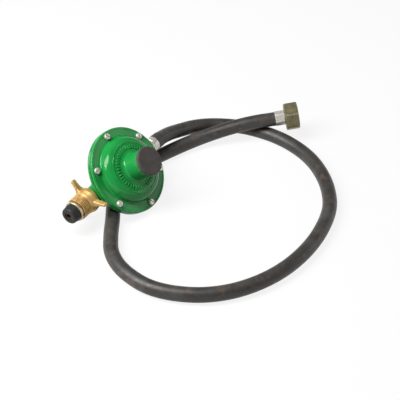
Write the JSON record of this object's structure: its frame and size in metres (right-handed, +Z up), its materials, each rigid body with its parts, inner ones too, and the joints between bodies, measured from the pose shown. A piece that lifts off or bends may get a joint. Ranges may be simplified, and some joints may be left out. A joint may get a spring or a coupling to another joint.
{
  "type": "gas regulator with hose",
  "caption": "Low-pressure propane regulator with a round bonnet and spring tower, a left-hand wing-nut inlet, and a rubber hose that ends in a hexagon swivel nut.",
  "frame": {"origin": "on the table, under the middle of the bounding box of the regulator and its fittings, without the hose and its end fitting", "axes": "+X along the level line from the inlet to the outlet, +Z up; the regulator leans on its flange rim with its tower towards -Y, and the hose loops round on the -Y side"},
  "size_m": [0.2999, 0.2289, 0.0711],
  "materials": {
    "green_enamel": "gloss enamel on a die casting",
    "brass": "turned and cast, satin",
    "sintered_bronze": "matt, grainy",
    "plated_steel": "bright zinc plate",
    "spring_steel": "satin",
    "olive_plate": "olive chromate over zinc",
    "hose_rubber": "matt",
    "seal_rubber": "matt",
    "cap_plastic": "fine matt"
  },
  "bodies": {
    "root": {"lower_body": "green_enamel", "bonnet": "green_enamel", "diaphragm": "seal_rubber", "cover_screws": "plated_steel", "main_spring": "spring_steel", "lever_pin": "plated_steel", "lever_bracket": "plated_steel", "bracket_screws": "plated_steel", "seat_nozzle": "brass", "inlet_nipple": "brass", "inlet_filter": "sintered_bronze", "nose_seal": "seal_rubber", "outlet_tail": "plated_steel", "outlet_ferrule": "plated_steel", "hose": "hose_rubber", "end_ferrule": "plated_steel", "end_tail": "plated_steel", "end_washer": "seal_rubber"},
    "pusher": {"pusher_post": "brass", "relief_nut": "plated_steel", "relief_spring": "spring_steel"},
    "plate": {"diaphragm_plate": "plated_steel"},
    "lever": {"lever": "plated_steel"},
    "valve": {"valve_holder": "brass", "valve_disc": "seal_rubber"},
    "spring_seat": {"spring_seat": "plated_steel"},
    "adjuster": {"adjusting_screw": "plated_steel"},
    "cap": {"tower_cap": "cap_plastic"},
    "wing_nut": {"wing_nut": "brass"},
    "swivel_nut": {"swivel_nut": "olive_plate"}
  },
  "joints": [
    {"name": "diaphragm_travel", "type": "slide", "parent": "root", "child": "pusher", "axis": [0, -0.7547, 0.6561], "range_m": [0, 0.0026], "stiffness_N_per_m": 400, "springref_m": -0.004, "deforming": ["main_spring", "diaphragm"]},
    {"name": "lever_tilt", "type": "hinge", "parent": "root", "child": "lever", "pos_m": [0.0104, 0.01137, 0.02855], "axis": [0, 0.6561, 0.7547], "range_deg": [0, 11.51]},
    {"name": "valve_close", "type": "slide", "parent": "root", "child": "valve", "axis": [-1, 0, 0], "range_m": [0, 0.00106]},
    {"name": "relief_lift", "type": "slide", "parent": "pusher", "child": "plate", "axis": [0, -0.7547, 0.6561], "range_m": [0, 0.0012], "stiffness_N_per_m": 600, "springref_m": -0.002, "deforming": ["relief_spring"]},
    {"name": "adjuster_travel", "type": "slide", "parent": "root", "child": "spring_seat", "axis": [0, 0.7547, -0.6561], "range_m": [0, 0.006]},
    {"name": "adjuster_turn", "type": "hinge", "parent": "spring_seat", "child": "adjuster", "pos_m": [-0.0026, 0.0039, 0.03505], "axis": [0, 0.7547, -0.6561], "range_deg": [0, 1442]},
    {"name": "cap_pull", "type": "slide", "parent": "root", "child": "cap", "axis": [0, -0.7547, 0.6561], "range_m": [0, 0.014]},
    {"name": "wing_nut_spin", "type": "hinge", "parent": "root", "child": "wing_nut", "pos_m": [-0.0514, 0.01537, 0.02507], "axis": [-1, 0, 0], "continuous": true},
    {"name": "swivel_nut_spin", "type": "hinge", "parent": "root", "child": "swivel_nut", "pos_m": [0.17792, -0.07787, 0.02574], "axis": [0.6299, -0.7641, 0.1392], "continuous": true}
  ],
  "couplings": [
    {"joint": "lever_tilt", "follows": "diaphragm_travel", "rad_per_m": 76.923},
    {"joint": "valve_close", "follows": "diaphragm_travel", "ratio": 0.40769},
    {"joint": "adjuster_turn", "follows": "adjuster_travel", "rad_per_m": 4188.8}
  ]
}
